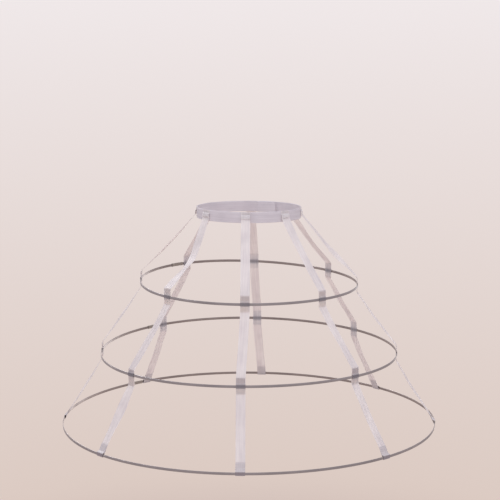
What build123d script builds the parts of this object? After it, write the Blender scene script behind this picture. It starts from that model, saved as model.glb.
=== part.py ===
from build123d import *

import math
import os

# Cage crinoline: three flat steel hoops hung from a cloth waistband by eight ribbon tapes.
# Millimetres, +Z up, origin at the centre of the waistband at half its height.
# The wearer's back faces -Y and the wearer's right is at +X.
# Angles are degrees round the cage, from the back (-Y) towards the wearer's right (+X).

# Waistband, an oval of doubled cloth whose ends lap at the front
waist_width = 238
waist_depth = 172
band_height = 25
band_thickness = 1.6
lap_length = 44
lap_end_angle = 171
lap_slit = 1.2
lap_step = 4

# Hook and bar between the lapped ends
hook_height = 8
hook_length = 14
hook_tongue = 6
clasp_plate = 0.8
clasp_clearance = 0.25
bar_width = 3
bar_foot = 3.5

# Hoops, flat strip on edge, each with its drop below the middle of the waistband
upper_hoop_diameter = 504
middle_hoop_diameter = 690
lower_hoop_diameter = 872
upper_hoop_drop = 164.5
middle_hoop_drop = 328.5
lower_hoop_drop = 493.5
strip_height = 6
strip_thickness = 1

# Lean of the tapes at the hem, in degrees from upright
hem_lean = 27

# Lean of the upper hoop, in degrees, and the side that hangs lowest
upper_hoop_lean = 1.1
upper_hoop_low_angle = 72

# Sleeves over the butted ends of the hoops
joiner_length = 33
joiner_wall = 0.6
joiner_clearance = 0.1
joiner_tape_gap = 4
strip_end_gap = 1

# Ribbon tapes
tape_width = 21
tape_thickness = 0.6
tab_height = 15
taut_sag = 4
slack_sag = 26
span_sag = 2
hem_turn_up = 21
hem_drop_gap = 0.4
fold_gap = 0.15
fold_slope = 9

# Casing patches over the upper and the middle hoop
casing_rise = 19
casing_drop = 17
casing_thickness = 0.5
casing_slope = 3.5

# Room between the cloth and the strip that runs through it
seat_gap = 0.15

# How far a cut runs past the face it opens
cut_overrun = 1

# Each tape: angle on the waistband's oval, then at the upper, the middle and the lower hoop
tape_angles = {
    "back_centre": (-1.3, 1.1, 0.1, 0.6),
    "back_right": (45.2, 43.5, 45.9, 46.6),
    "right": (90, 90, 90, 90),
    "front_right": (131.5, 133.2, 134.2, 135.6),
    "front_centre": (180, 180, 179.5, 178.7),
    "front_left": (228.5, 219.8, 221.4, 219.9),
    "left": (270, 270, 270, 270),
    "back_left": (308.5, 316.7, 313.8, 314.4),
}

# The tape whose first run hangs slack
slack_tape = "back_left"

# The casing that has slipped down its tape, and how far
slipped_casing = ("back_left", "middle")
casing_slip = 8

# The sleeves sit just past this tape
joiner_tape = "front_left"

# Stations along a tape's first run and along its lower spans, as shares of the chord
run_shares = (0.12, 0.3, 0.5, 0.7, 0.88)
span_shares = (0.25, 0.5, 0.75)

hoops = {
    "upper": (upper_hoop_diameter, upper_hoop_drop, upper_hoop_lean),
    "middle": (middle_hoop_diameter, middle_hoop_drop, 0),
    "lower": (lower_hoop_diameter, lower_hoop_drop, 0),
}
cased_hoops = ("upper", "middle")

band_inner = (waist_width / 2, waist_depth / 2)
band_outer = tuple(axis + band_thickness for axis in band_inner)
tab_outer = tuple(axis + tape_thickness for axis in band_outer)
lap_gap = 3 * clasp_plate + 4 * clasp_clearance
under_outer = tuple(axis - lap_gap for axis in band_inner)
under_inner = tuple(axis - band_thickness for axis in under_outer)
step_middle = tuple(axis - lap_gap / 2 for axis in band_inner)
lap_angle = lap_end_angle - math.degrees(lap_length / 2 / band_inner[0])
step_angle = lap_end_angle + math.degrees((lap_slit + lap_step) / 2 / band_inner[0])
tab_bottom = band_height / 2 - tab_height
hem_drop = strip_height / 2 + hem_drop_gap
hem_thickness = tape_thickness / math.cos(math.radians(hem_lean))
hem_fold_gap = fold_gap / math.cos(math.radians(hem_lean))


def outward(angle):
    """Unit vector that points out of the cage at an angle."""
    return Vector(math.sin(math.radians(angle)), -math.cos(math.radians(angle)), 0)


def along(angle):
    """Unit vector round the cage at an angle, towards larger angles."""
    return Vector(math.cos(math.radians(angle)), math.sin(math.radians(angle)), 0)


def radial_plane(angle):
    """Upright plane through the cage's axis: x runs outward and y runs up."""
    return Plane(origin=(0, 0, 0), x_dir=outward(angle), z_dir=-along(angle))


def leaned(direction, lean):
    """Direction after a lean that lowers the side at the low angle."""
    return direction.rotate(Axis((0, 0, 0), along(upper_hoop_low_angle)), lean)


def hoop_height(key, angle):
    """Height of a hoop's middle at an angle."""
    diameter, drop, lean = hoops[key]
    low_share = outward(angle).dot(outward(upper_hoop_low_angle))
    return -drop - diameter / 2 * math.sin(math.radians(lean)) * low_share


def crossing_angle(name, key):
    """Angle at which a tape crosses a hoop."""
    return dict(zip(hoops, tape_angles[name][1:]))[key]


def cloth_reach(name, key):
    """How far a tape lies flat above and below the middle of a cased hoop."""
    slip = casing_slip if (name, key) == slipped_casing else 0
    return casing_rise - slip, casing_drop + slip


def oval_point(axes, angle):
    """Point of an oval with the given half axes."""
    return Vector(axes[0] * outward(angle).X, axes[1] * outward(angle).Y, 0)


def oval_facing(axes, angle):
    """Angle that the oval faces at one of its points."""
    return math.degrees(math.atan2(axes[1] * outward(angle).X, -axes[0] * outward(angle).Y))


def oval_place(axes, angle):
    """Location on the oval with x along it and y pointing inward."""
    point = oval_point(axes, angle)
    return Location((point.X, point.Y), oval_facing(axes, angle))


def inner_seat(diameter):
    """Distance from the axis at which a flat tape clears the inside of a hoop."""
    inner_radius = (diameter - strip_thickness) / 2
    return math.sqrt(inner_radius**2 - (tape_width / 2) ** 2) - seat_gap


def outer_seat(diameter):
    """Distance from the axis at which cloth clears the outside of a hoop."""
    return (diameter + strip_thickness) / 2 + seat_gap


def finish(part, name):
    """Label a finished piece and write it."""
    part.label = name
    export_step(part, f"parts/{name}.step")


def oval_ring(outer, inner, half_turn=False):
    """Draw the space between two ovals, which start at +X or, after a half turn, at -X."""
    start = 180 if half_turn else 0
    Ellipse(*outer, rotation=start)
    Ellipse(*inner, rotation=start, mode=Mode.SUBTRACT)


def make_waistband():
    """Oval band with one end stepped in under the other, wide enough apart for the clasp."""
    under_length = lap_length + 2 * (lap_slit + lap_step)
    with BuildSketch() as underlap:
        oval_ring(under_outer, under_inner)
        with Locations(oval_place(under_outer, lap_angle)):
            Rectangle(under_length, lap_length, mode=Mode.INTERSECT)
    with BuildPart() as waistband:
        with BuildSketch(Plane.XY.offset(-band_height / 2)):
            oval_ring(band_outer, band_inner)
            with Locations(oval_place(band_inner, lap_end_angle)):
                Rectangle(lap_slit, 2 * (band_thickness + cut_overrun), mode=Mode.SUBTRACT)
            add(underlap.sketch)
            with Locations(oval_place(step_middle, step_angle)):
                Rectangle(lap_step, lap_gap + band_thickness)
        extrude(amount=band_height)
    finish(waistband.part, "waistband")


def tab_section(angle):
    """Tape's level section at the lower end of its tab on the band."""
    with BuildSketch(Plane.XY.offset(tab_bottom)) as section:
        oval_ring(tab_outer, band_outer, half_turn=outward(angle).X > 0)
        with Locations(oval_place(band_outer, angle)):
            Rectangle(tape_width, tape_width, mode=Mode.INTERSECT)
    return section.sketch


def level_section(point, angle, thickness=tape_thickness):
    """Tape's level section, as thick as its lean makes it."""
    with BuildSketch(Plane(origin=point, x_dir=along(angle), z_dir=(0, 0, -1))) as section:
        Rectangle(tape_width, thickness)
    return section.sketch


def run_sections(start, end, start_angle, end_angle, sag, shares):
    """Tape's sections along a run that sags towards the axis and turns from one angle to another."""
    chord = end - start
    level = Vector(chord.X, chord.Y, 0)
    droop = (level.normalized() * chord.Z - Vector(0, 0, level.length)).normalized() * sag
    turn = (end_angle - start_angle + 180) % 360 - 180
    sections = []
    for share in shares:
        middle = start + chord * share + droop * (4 * share * (1 - share))
        heading = (chord + droop * (4 - 8 * share)).normalized()
        across = along(start_angle + turn * share)
        across = across - heading * across.dot(heading)
        with BuildSketch(Plane(origin=middle, x_dir=across, z_dir=heading)) as section:
            Rectangle(tape_width, tape_thickness)
        sections.append(section.sketch)
    return sections


def tape_point(key, angle, height):
    """Middle of the tape's thickness behind a hoop, at a height above the hoop's middle."""
    seat = inner_seat(hoops[key][0]) - tape_thickness / 2
    return outward(angle) * seat + Vector(0, 0, hoop_height(key, angle) + height)


def make_tape(name):
    """Tape: tab on the waistband, runs from hoop to hoop and an end folded up round the lowest."""
    waist_angle = tape_angles[name][0]
    facing = oval_facing(band_outer, waist_angle)
    start = oval_point(band_outer, waist_angle) + outward(facing) * (tape_thickness / 2)
    start = start + Vector(0, 0, tab_bottom)
    section = tab_section(waist_angle)
    sag = slack_sag if name == slack_tape else taut_sag
    shares = run_shares
    with BuildPart() as tape:
        extrude(section, amount=tab_height)
        for key in cased_hoops:
            angle = crossing_angle(name, key)
            rise, drop = cloth_reach(name, key)
            end = tape_point(key, angle, rise)
            end_section = level_section(end, angle)
            loft([section, *run_sections(start, end, facing, angle, sag, shares), end_section])
            extrude(end_section, amount=rise + drop)
            start = tape_point(key, angle, -drop)
            section = level_section(start, angle)
            facing = angle
            sag = span_sag
            shares = span_shares
        angle = crossing_angle(name, "lower")
        height = hoop_height("lower", angle)
        end = outward(angle) * (hem_x(hem_turn_up) - hem_thickness / 2)
        end = end + Vector(0, 0, height + hem_turn_up)
        end_section = level_section(end, angle, hem_thickness)
        loft([section, *run_sections(start, end, facing, angle, sag, shares), end_section])
        with BuildSketch(radial_plane(angle)):
            with BuildLine():
                hem_outline(height)
            make_face()
        extrude(amount=tape_width / 2, both=True)
    finish(tape.part, f"tape_{name}")


def hem_x(rise):
    """Distance from the axis of the leaning tape's outer face, at a height above the hoop's middle."""
    return inner_seat(lower_hoop_diameter) - (rise + hem_drop) * math.tan(math.radians(hem_lean))


def hem_outline(height):
    """Draw the tape's leaning end: down behind the lower hoop, under it and back up to the tape."""
    near_x = hem_x(-hem_drop)
    far_x = outer_seat(lower_hoop_diameter)
    bend = (far_x - near_x) / 2
    shoulder = strip_height / 2
    landing = shoulder + fold_slope
    low_y = height - hem_drop
    top_y = height + hem_turn_up
    inside = [
        (far_x, low_y),
        (far_x, height + shoulder),
        (hem_x(landing) + hem_fold_gap, height + landing),
        (hem_x(hem_turn_up) + hem_fold_gap, top_y),
    ]
    outside = [(x + hem_thickness, y) for x, y in inside]
    inner_turn = (near_x + bend, low_y - bend)
    outer_turn = (near_x + bend, low_y - bend - hem_thickness)
    inner_foot = (near_x - hem_thickness, low_y)
    ThreePointArc((near_x, low_y), inner_turn, inside[0])
    Polyline(*inside, *reversed(outside))
    ThreePointArc(outside[0], outer_turn, inner_foot)
    Polyline(
        inner_foot,
        (hem_x(hem_turn_up) - hem_thickness, top_y),
        (hem_x(hem_turn_up), top_y),
        (near_x, low_y),
    )


def make_casing(name, key):
    """Patch sewn to the tape above and below the hoop, with room for the strip between."""
    angle = crossing_angle(name, key)
    height = hoop_height(key, angle)
    rise, drop = cloth_reach(name, key)
    flat_x = inner_seat(hoops[key][0])
    pocket_x = outer_seat(hoops[key][0])
    with BuildPart() as casing:
        with BuildSketch(radial_plane(angle)):
            with BuildLine():
                Polyline(
                    (flat_x, height - drop),
                    (flat_x, height - strip_height / 2 - casing_slope),
                    (pocket_x, height - strip_height / 2),
                    (pocket_x, height + strip_height / 2),
                    (flat_x, height + strip_height / 2 + casing_slope),
                    (flat_x, height + rise),
                )
                offset(amount=casing_thickness, side=Side.RIGHT)
            make_face()
        extrude(amount=tape_width / 2, both=True)
    finish(casing.part, f"casing_{key}_{name}")


def make_hoop(key):
    """Strip bent to a ring, and the sleeve over its two ends."""
    diameter, drop, lean = hoops[key]
    radius = diameter / 2
    sleeve_offset = math.degrees((tape_width / 2 + joiner_tape_gap) / radius)
    sleeve_start = crossing_angle(joiner_tape, key) + sleeve_offset
    sleeve_angle = math.degrees(joiner_length / radius)
    gap_angle = math.degrees(strip_end_gap / radius)
    ends_angle = sleeve_start + (sleeve_angle + gap_angle) / 2
    hole = (strip_thickness + 2 * joiner_clearance, strip_height + 2 * joiner_clearance)
    ring_axis = Axis((0, 0, -drop), leaned(Vector(0, 0, 1), lean))

    def ring_plane(angle):
        """Plane through the ring's axis: x runs outward and y runs along the axis."""
        side = leaned(outward(angle), lean)
        return Plane(origin=(0, 0, -drop), x_dir=side, z_dir=leaned(-along(angle), lean))

    with BuildPart() as hoop:
        with BuildSketch(ring_plane(ends_angle)):
            with Locations((radius, 0)):
                Rectangle(strip_thickness, strip_height)
        revolve(axis=ring_axis, revolution_arc=360 - gap_angle)
    finish(hoop.part, f"hoop_{key}")
    with BuildPart() as joiner:
        with BuildSketch(ring_plane(sleeve_start)):
            with Locations((radius, 0)):
                Rectangle(*(side + 2 * joiner_wall for side in hole))
                Rectangle(*hole, mode=Mode.SUBTRACT)
        revolve(axis=ring_axis, revolution_arc=sleeve_angle)
    finish(joiner.part, f"joiner_{key}")


def make_clasp():
    """Bar on the inner end of the band, and the hook on the outer end that holds it."""
    facing = oval_facing(band_inner, lap_angle)
    seat = oval_point(band_inner, lap_angle)
    tongue_y = lap_gap - clasp_clearance - clasp_plate
    bridge_y = tongue_y - clasp_clearance
    plate_y = bridge_y - clasp_plate - clasp_clearance
    bridge_half = hook_height / 2 + clasp_clearance
    bar_shift = hook_length / 2 - clasp_clearance - bar_width / 2
    bar_plane = Plane(origin=seat + along(facing) * bar_shift, x_dir=(0, 0, 1), z_dir=-along(facing))
    with BuildPart() as bar:
        with BuildSketch(bar_plane):
            with BuildLine():
                Polyline(
                    (-bridge_half - bar_foot, lap_gap),
                    (-bridge_half, lap_gap),
                    (-bridge_half, bridge_y),
                    (bridge_half, bridge_y),
                    (bridge_half, lap_gap),
                    (bridge_half + bar_foot, lap_gap),
                )
                offset(amount=clasp_plate, side=Side.RIGHT)
            make_face()
        extrude(amount=bar_width / 2, both=True)
    finish(bar.part, "waist_bar")
    with BuildPart() as hook:
        with BuildSketch(Plane(origin=seat, x_dir=along(facing), z_dir=(0, 0, 1))):
            with BuildLine():
                Polyline(
                    (-hook_length / 2, plate_y),
                    (hook_length / 2, plate_y),
                    (hook_length / 2, tongue_y),
                    (hook_length / 2 - hook_tongue, tongue_y),
                )
                offset(amount=clasp_plate, side=Side.RIGHT)
            make_face()
        extrude(amount=hook_height / 2, both=True)
    finish(hook.part, "waist_hook")


os.makedirs("parts", exist_ok=True)
make_waistband()
make_clasp()
for tape_name in tape_angles:
    make_tape(tape_name)
    for hoop_key in cased_hoops:
        make_casing(tape_name, hoop_key)
for hoop_key in hoops:
    make_hoop(hoop_key)
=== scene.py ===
"""Cage crinoline: a lapped waistband, eight ribbon tapes, their casings and three steel hoops."""
import logging
import math
from collections.abc import Callable, Iterable
from dataclasses import dataclass, field
from enum import Enum

import bmesh
import bpy
import numpy as np
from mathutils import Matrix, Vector


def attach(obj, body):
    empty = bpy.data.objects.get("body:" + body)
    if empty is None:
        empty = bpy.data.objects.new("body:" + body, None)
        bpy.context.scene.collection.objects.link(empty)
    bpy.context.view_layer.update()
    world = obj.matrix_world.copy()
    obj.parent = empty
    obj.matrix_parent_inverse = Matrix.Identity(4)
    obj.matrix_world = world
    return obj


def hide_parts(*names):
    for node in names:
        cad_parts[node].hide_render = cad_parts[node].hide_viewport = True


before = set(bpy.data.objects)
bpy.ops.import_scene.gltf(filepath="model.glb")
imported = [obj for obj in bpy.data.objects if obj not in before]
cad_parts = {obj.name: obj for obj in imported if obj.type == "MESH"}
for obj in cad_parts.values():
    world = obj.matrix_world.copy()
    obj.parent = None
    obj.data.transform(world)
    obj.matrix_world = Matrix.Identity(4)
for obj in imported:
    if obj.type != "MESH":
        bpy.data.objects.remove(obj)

LOG = logging.getLogger("crinoline")
MM = 0.001
UP = np.array([0.0, 0.0, 1.0])
BODY = "root"
WEAVE_UV = "weave"
BACKED = "backed"
STRIP_BEHIND = "strip_behind"
INNER_FACE = "inner_face"
# One number, or a row of them.
Values = np.ndarray | float


# Named options


class Hoop(Enum):
    """The hoops, from the waist down."""

    UPPER = "upper"
    MIDDLE = "middle"
    LOWER = "lower"


class Tape(Enum):
    """The tapes, round the cage from the back towards the wearer's right."""

    BACK_CENTRE = "back_centre"
    BACK_RIGHT = "back_right"
    RIGHT = "right"
    FRONT_RIGHT = "front_right"
    FRONT_CENTRE = "front_centre"
    FRONT_LEFT = "front_left"
    LEFT = "left"
    BACK_LEFT = "back_left"


class Slot(Enum):
    """Material slots of the record."""

    WAISTBAND = "waistband_cloth"
    TAPE = "tape_ribbon"
    CASING = "casing_ribbon"
    HOOP = "hoop_steel"
    SLEEVE = "joiner_sleeve"


# Directions and small sums


def outward(angle: Values) -> np.ndarray:
    """Level unit vector out of the cage at an angle in degrees from the back."""
    turn = np.radians(angle)
    return np.stack([np.sin(turn), -np.cos(turn), np.zeros_like(turn)], axis=-1)


def along(angle: Values) -> np.ndarray:
    """Level unit vector round the cage at an angle, towards larger angles."""
    return outward(angle + 90.0)


def unit(vectors: np.ndarray) -> np.ndarray:
    """Vectors of length one along the last axis."""
    return vectors / np.linalg.norm(vectors, axis=-1, keepdims=True)


def ease(share: Values) -> Values:
    """Smooth step from 0 to 1, flat at both ends."""
    held = np.clip(share, 0.0, 1.0)
    return held * held * (3.0 - 2.0 * held)


def linear(colour: str) -> tuple[float, float, float, float]:
    """Turn a colour from sRGB hex to linear.

    Args:
        colour: Six hex digits after a hash sign.

    Returns:
        Red, green, blue and full alpha, as the shader sockets take them.
    """
    shares = [int(colour[place : place + 2], 16) / 255 for place in (1, 3, 5)]
    red, green, blue = ((s / 12.92) if s <= 0.04045 else ((s + 0.055) / 1.055) ** 2.4 for s in shares)
    return red, green, blue, 1.0


# Nodes


def add_node(
    tree: bpy.types.NodeTree,
    kind: str,
    inputs: dict[str | int, object] | None = None,
    **settings: object,
) -> bpy.types.Node:
    """Add a node with its settings, input values and links.

    Args:
        tree: Tree that takes the node.
        kind: Blender's name of the node type.
        inputs: For each input by name or place: a value, an output to link, or a node whose first
            output in use is linked.
        settings: Properties of the node itself.

    Returns:
        The new node.
    """
    node = tree.nodes.new(kind)
    for name, value in settings.items():
        setattr(node, name, value)
    for key, value in (inputs or {}).items():
        if isinstance(value, bpy.types.Node):
            value = next(output for output in value.outputs if output.enabled)
        if isinstance(value, bpy.types.NodeSocket):
            tree.links.new(value, node.inputs[key])
        else:
            node.inputs[key].default_value = value
    return node


def new_material(name: str) -> tuple[bpy.types.Material, bpy.types.NodeTree]:
    """Make a material with an empty tree.

    Args:
        name: Common name of the material and its surface.

    Returns:
        The material and its node tree.
    """
    material = bpy.data.materials.new(name)
    material.use_nodes = True
    material.node_tree.nodes.clear()
    return material, material.node_tree


# Finishes


@dataclass(frozen=True)
class RibbonFinish:
    """Woven ribbon: cross ribs with painted shade in their hollows, streaked bands along the warp that also
    paint sheen, light through it, and painted shade where it lies double or over steel, where the grey steel
    also shows through.

    The ribs of such a ribbon are about 0.5 mm apart. They are drawn coarser, so that they show.
    """

    name: str
    thread: str
    hollow_shade: str
    # Multiply colour where the ribbon lies double: painted shade, as less light comes through.
    backed: str
    # Multiply colour over the strip: partly the grey steel seen through the cloth, partly painted shade.
    over_strip: str
    through: str = "#fff8ee"
    through_shares: tuple[float, float] = (0.42, 0.12)
    rib: float = 1.1 * MM
    sheen_streak_width: float = 3.2 * MM
    sheen_streak_length: float = 80 * MM
    cloud: float = 45 * MM
    rib_depth: float = 0.07 * MM
    gloss: tuple[float, float] = (0.46, 0.6)
    sheen: float = 0.2

    def build(self) -> bpy.types.Material:
        """Build the material.

        Returns:
            A material that reads the ribbon's weave map and its two marks.
        """
        material, tree = new_material(self.name)
        weave = add_node(tree, "ShaderNodeUVMap", uv_map=WEAVE_UV)
        rib_scale = math.pi / 10 / self.rib
        ribs = add_node(
            tree, "ShaderNodeTexWave", {"Vector": weave, "Scale": rib_scale}, bands_direction="Y"
        ).outputs["Fac"]
        sheen_streak = (1 / self.sheen_streak_width, 1 / self.sheen_streak_length, 1.0)
        stretched = add_node(tree, "ShaderNodeMapping", {"Vector": weave, "Scale": sheen_streak})
        sheen_streaks = add_node(tree, "ShaderNodeTexNoise", {"Vector": stretched, "Scale": 1.0, "Detail": 1.5})
        place = add_node(tree, "ShaderNodeTexCoord").outputs["Object"]
        clouds = add_node(
            tree, "ShaderNodeTexNoise", {"Vector": place, "Scale": 1 / self.cloud, "Detail": 2.0}
        )
        # The rib troughs take the darker colour: painted shade in the recesses between the ribs.
        ribbed = add_node(tree, "ShaderNodeMapRange", {"Value": ribs, "To Min": 0.25, "To Max": -0.05})
        # Streaked bands along the warp and clouds vary the tone at random, and their wide bands also paint
        # sheen as lighter and darker strips along the ribbon.
        shade = add_node(tree, "ShaderNodeMath", {0: sheen_streaks, 1: clouds}, operation="ADD")
        banded = add_node(tree, "ShaderNodeMapRange", {"Value": shade, "From Min": 0.75, "From Max": 1.25})
        mottle_sheen_and_shade = add_node(
            tree, "ShaderNodeMath", {0: banded, 1: 0.8, 2: ribbed}, operation="MULTIPLY_ADD", use_clamp=True
        )
        colour = add_node(
            tree,
            "ShaderNodeMix",
            {0: mottle_sheen_and_shade, 6: linear(self.thread), 7: linear(self.hollow_shade)},
            data_type="RGBA",
        )
        backed, steel = (
            add_node(tree, "ShaderNodeAttribute", attribute_name=mark).outputs["Fac"]
            for mark in (BACKED, STRIP_BEHIND)
        )
        # Both multiply colours paint shade: where the ribbon lies double, and over the strip, where the grey
        # steel also shows through.
        for share, shade_tint in ((backed, self.backed), (steel, self.over_strip)):
            colour = add_node(
                tree,
                "ShaderNodeMix",
                {0: share, 6: colour, 7: linear(shade_tint)},
                data_type="RGBA",
                blend_type="MULTIPLY",
            )
        gloss = dict(zip(("To Min", "To Max"), self.gloss))
        rough = add_node(
            tree, "ShaderNodeMapRange", {"Value": sheen_streaks, "From Min": 0.3, "From Max": 0.7, **gloss}
        )
        bump = add_node(
            tree, "ShaderNodeBump", {"Height": ribs, "Strength": 0.12, "Distance": self.rib_depth}
        )
        front = add_node(
            tree,
            "ShaderNodeBsdfPrincipled",
            {
                "Base Color": colour,
                "Roughness": rough,
                "Normal": bump,
                "IOR": 1.5,
                "Sheen Weight": self.sheen,
                "Sheen Roughness": 0.4,
            },
        )
        warmed = add_node(
            tree,
            "ShaderNodeMix",
            {0: 1.0, 6: colour, 7: linear(self.through)},
            data_type="RGBA",
            blend_type="MULTIPLY",
        )
        behind = add_node(tree, "ShaderNodeBsdfTranslucent", {"Color": warmed})
        through = dict(zip(("To Min", "To Max"), self.through_shares))
        share = add_node(tree, "ShaderNodeMapRange", {"Value": backed, **through})
        surface = add_node(tree, "ShaderNodeMixShader", {0: share, 1: front, 2: behind})
        add_node(tree, "ShaderNodeOutputMaterial", {"Surface": surface})
        return material


@dataclass(frozen=True)
class SteelFinish:
    """Cold rolled steel: drawn lines along the strip, clouded tone, satin gloss and painted shade on its
    inner face.
    """

    name: str
    bright: str
    dull: str
    # Multiply colour for the inner face: warm painted shade.
    inside: str = "#ffffff"
    line: float = 0.5 * MM
    line_run: float = 1 / 6
    cloud: float = 60 * MM
    gloss: tuple[float, float] = (0.4, 0.52)
    line_depth: float = 0.01 * MM

    def build(self) -> bpy.types.Material:
        """Build the material.

        Returns:
            A metal whose fine lines run level, as they do along a strip on edge.
        """
        material, tree = new_material(self.name)
        place = add_node(tree, "ShaderNodeTexCoord").outputs["Object"]
        drawn = (1 / self.line_run, 1 / self.line_run, 1 / self.line)
        level = add_node(tree, "ShaderNodeMapping", {"Vector": place, "Scale": drawn})
        lines = add_node(tree, "ShaderNodeTexNoise", {"Vector": level, "Scale": 1.0, "Detail": 2.0})
        clouds = add_node(
            tree, "ShaderNodeTexNoise", {"Vector": place, "Scale": 1 / self.cloud, "Detail": 3.0}
        )
        tone = add_node(tree, "ShaderNodeMath", {0: lines, 1: clouds}, operation="ADD")
        share = add_node(tree, "ShaderNodeMapRange", {"Value": tone, "From Min": 0.65, "From Max": 1.35})
        rolled = add_node(
            tree,
            "ShaderNodeMix",
            {0: share, 6: linear(self.bright), 7: linear(self.dull)},
            data_type="RGBA",
        )
        # The inner face takes the inside colour: painted shade, browner and darker than the outer face.
        inner = add_node(tree, "ShaderNodeAttribute", attribute_name=INNER_FACE).outputs["Fac"]
        colour = add_node(
            tree,
            "ShaderNodeMix",
            {0: inner, 6: rolled, 7: linear(self.inside)},
            data_type="RGBA",
            blend_type="MULTIPLY",
        )
        gloss = dict(zip(("To Min", "To Max"), self.gloss))
        rough = add_node(
            tree, "ShaderNodeMapRange", {"Value": clouds, "From Min": 0.3, "From Max": 0.7, **gloss}
        )
        bump = add_node(
            tree, "ShaderNodeBump", {"Height": lines, "Strength": 0.4, "Distance": self.line_depth}
        )
        surface = add_node(
            tree,
            "ShaderNodeBsdfPrincipled",
            {"Base Color": colour, "Metallic": 1.0, "Roughness": rough, "Normal": bump},
        )
        add_node(tree, "ShaderNodeOutputMaterial", {"Surface": surface})
        return material


@dataclass(frozen=True)
class MouldedFinish:
    """Moulded nylon or spun thread: soft grain, faint clouds and a low even gloss."""

    name: str
    light: str
    dark: str
    grain: float = 0.7 * MM
    cloud: float = 12 * MM
    gloss: tuple[float, float] = (0.4, 0.55)
    grain_depth: float = 0.02 * MM

    def build(self) -> bpy.types.Material:
        """Build the material.

        Returns:
            A plastic whose grain is fixed to the object.
        """
        material, tree = new_material(self.name)
        place = add_node(tree, "ShaderNodeTexCoord").outputs["Object"]
        grain, clouds = (
            add_node(tree, "ShaderNodeTexNoise", {"Vector": place, "Scale": 1 / size, "Detail": 2.0})
            for size in (self.grain, self.cloud)
        )
        colour = add_node(
            tree,
            "ShaderNodeMix",
            {0: clouds, 6: linear(self.light), 7: linear(self.dark)},
            data_type="RGBA",
        )
        gloss = dict(zip(("To Min", "To Max"), self.gloss))
        rough = add_node(tree, "ShaderNodeMapRange", {"Value": grain, **gloss})
        bump = add_node(
            tree, "ShaderNodeBump", {"Height": grain, "Strength": 0.5, "Distance": self.grain_depth}
        )
        surface = add_node(
            tree,
            "ShaderNodeBsdfPrincipled",
            {"Base Color": colour, "Roughness": rough, "Normal": bump, "IOR": 1.53},
        )
        add_node(tree, "ShaderNodeOutputMaterial", {"Surface": surface})
        return material


# White satin ribbon catches the light where it slopes and lets light through; over steel it greys, partly as
# the steel seen through it and partly as painted shade.
TAPE_RIBBON = RibbonFinish("polyester_ribbon_woven", "#faf9fd", "#e9e6ec", "#ded7d7", "#b5b1b6")
# The casing ribbon looks greyer from painted shade where it lies over the tape, and over the strip it shows a
# dark bar, partly the steel through it and partly painted shade.
CASING_RIBBON = RibbonFinish(
    "casing_ribbon_woven",
    "#f9f8fa",
    "#ece9ec",
    "#e0dce0",
    "#b9b6bd",
    through="#fff4e6",
    through_shares=(0.5, 0.42),
    gloss=(0.55, 0.7),
)
# The waistband is a firm ribbed webbing, duller than the tapes.
BAND_WEBBING = RibbonFinish(
    "cotton_webbing_ribbed",
    "#e8e3eb",
    "#d9d3dc",
    "#f2eef2",
    "#c9bfc2",
    through_shares=(0.15, 0.15),
    rib=1.6 * MM,
    rib_depth=0.12 * MM,
    gloss=(0.65, 0.8),
    sheen=0.3,
)
# Tempered strip is mid grey with a satin gloss and lines along its length, with warm painted shade on its
# inner face.
HOOP_STEEL = SteelFinish("spring_steel_rolled", "#aaa6ab", "#938f94", inside="#f6eee6")
# Nickel plate on the clasp is paler and smoother than the strip.
CLASP_NICKEL = SteelFinish("nickel_plate_pressed", "#c9c4bd", "#aca69f", gloss=(0.22, 0.34))
# The sleeves are smoky nylon, browner and duller than the steel.
SLEEVE_NYLON = MouldedFinish("nylon_sleeve_moulded", "#9c928b", "#867c75")
# Sewing thread is a bright twisted line that stands a little off the cloth.
SEWING_THREAD = MouldedFinish(
    "polyester_thread_spun", "#fbf9fc", "#ece8ee", grain=0.35 * MM, gloss=(0.5, 0.65)
)


# Shapes in plan


@dataclass(frozen=True)
class Oval:
    """Oval in plan, by its half axes."""

    half_width: float
    half_depth: float

    @property
    def axes(self) -> np.ndarray:
        """Half axes along X and Y."""
        return np.array([self.half_width, self.half_depth, 0.0])

    def grown(self, by: float) -> "Oval":
        """Oval that lies outside this one by a distance."""
        return Oval(self.half_width + by, self.half_depth + by)

    def point(self, angle: Values) -> np.ndarray:
        """Point of the oval at an angle."""
        return outward(angle) * self.axes

    def facing(self, angle: Values) -> Values:
        """Angle in degrees that the oval faces at one of its points."""
        sideways, ahead, _ = np.moveaxis(outward(angle), -1, 0)
        return np.degrees(np.arctan2(self.half_depth * sideways, -self.half_width * ahead))

    def bow(self, angle: float) -> float:
        """Curvature of the oval at an angle."""
        speed = np.linalg.norm(along(angle) * self.axes)
        return self.half_width * self.half_depth / speed**3


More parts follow.
